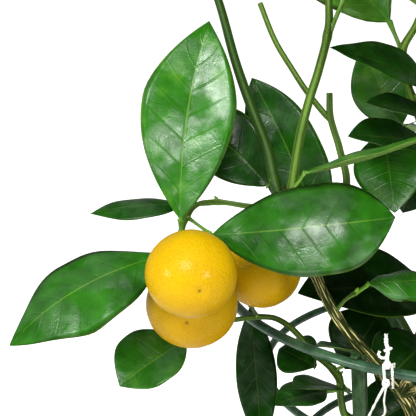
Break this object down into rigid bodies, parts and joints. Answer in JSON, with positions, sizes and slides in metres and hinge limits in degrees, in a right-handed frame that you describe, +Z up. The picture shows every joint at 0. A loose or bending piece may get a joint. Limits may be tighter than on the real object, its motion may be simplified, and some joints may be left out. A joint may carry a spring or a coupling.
{
  "type": "potted calamondin tree",
  "caption": "Small fruiting citrus tree in a round terracotta pot, steadied by a ring support on flat stakes and tied to it with string.",
  "frame": {"origin": "middle of the pot's base, on the surface that it stands on", "axes": "+Z up along the trunk; -Y is the front, where the fruiting spray stands out to the left"},
  "size_m": [0.4699, 0.4571, 0.6691],
  "materials": {
    "terracotta": "fired clay, matt, unglazed",
    "soil": "damp potting soil, crumbly and matt",
    "bark": "young citrus bark, straw-coloured ridges with dark olive fissures",
    "leaf": "waxy citrus leaf, glossy above, paler and matt below, with green stems",
    "fruit_peel": "ripe citrus peel, semi-gloss, with oil glands",
    "coated_wire": "steel wire in smooth dark green plastic",
    "stake_plastic": "moulded dark green plastic, satin",
    "string": "thin twisted white string, matt"
  },
  "bodies": {
    "root": {"pot": "terracotta", "soil": "soil", "wood": "bark", "ring_top": "coated_wire", "ring_middle": "coated_wire", "ring_low": "coated_wire", "stake_1": "stake_plastic", "stake_2": "stake_plastic", "stake_3": "stake_plastic", "tie": "string", "fruit_front": "fruit_peel", "fruit_below": "fruit_peel", "fruit_behind": "fruit_peel", "fruit_side_1": "fruit_peel", "fruit_right_front_1": "fruit_peel", "fruit_right_front_2": "fruit_peel", "fruit_right_front_3": "fruit_peel", "fruit_right_2": "fruit_peel", "fruit_right_3": "fruit_peel", "fruit_right_4": "fruit_peel", "fruit_back_1": "fruit_peel", "fruit_back_2": "fruit_peel", "fruit_back_3": "fruit_peel", "fruit_leader_1": "fruit_peel", "fruit_leader_2": "fruit_peel", "shoot_fruiting": "leaf", "shoot_tall": "leaf", "shoot_bright": "leaf", "shoot_pruned": "leaf", "shoot_right": "leaf", "shoot_low": "leaf", "shoot_shaded": "leaf", "leaf_on_limb": "leaf", "shoot_side_1": "leaf", "shoot_side_2": "leaf", "shoot_right_front_1": "leaf", "shoot_right_front_2": "leaf", "shoot_right_front_3": "leaf", "shoot_right_front_4": "leaf", "shoot_right_1": "leaf", "shoot_right_2": "leaf", "shoot_right_3": "leaf", "shoot_right_4": "leaf", "shoot_back_1": "leaf", "shoot_back_2": "leaf", "shoot_back_3": "leaf", "shoot_back_4": "leaf", "shoot_back_left_1": "leaf", "shoot_back_left_2": "leaf", "shoot_leader_1": "leaf", "shoot_leader_2": "leaf", "shoot_leader_3": "leaf", "shoot_leader_4": "leaf"}
  },
  "joints": []
}
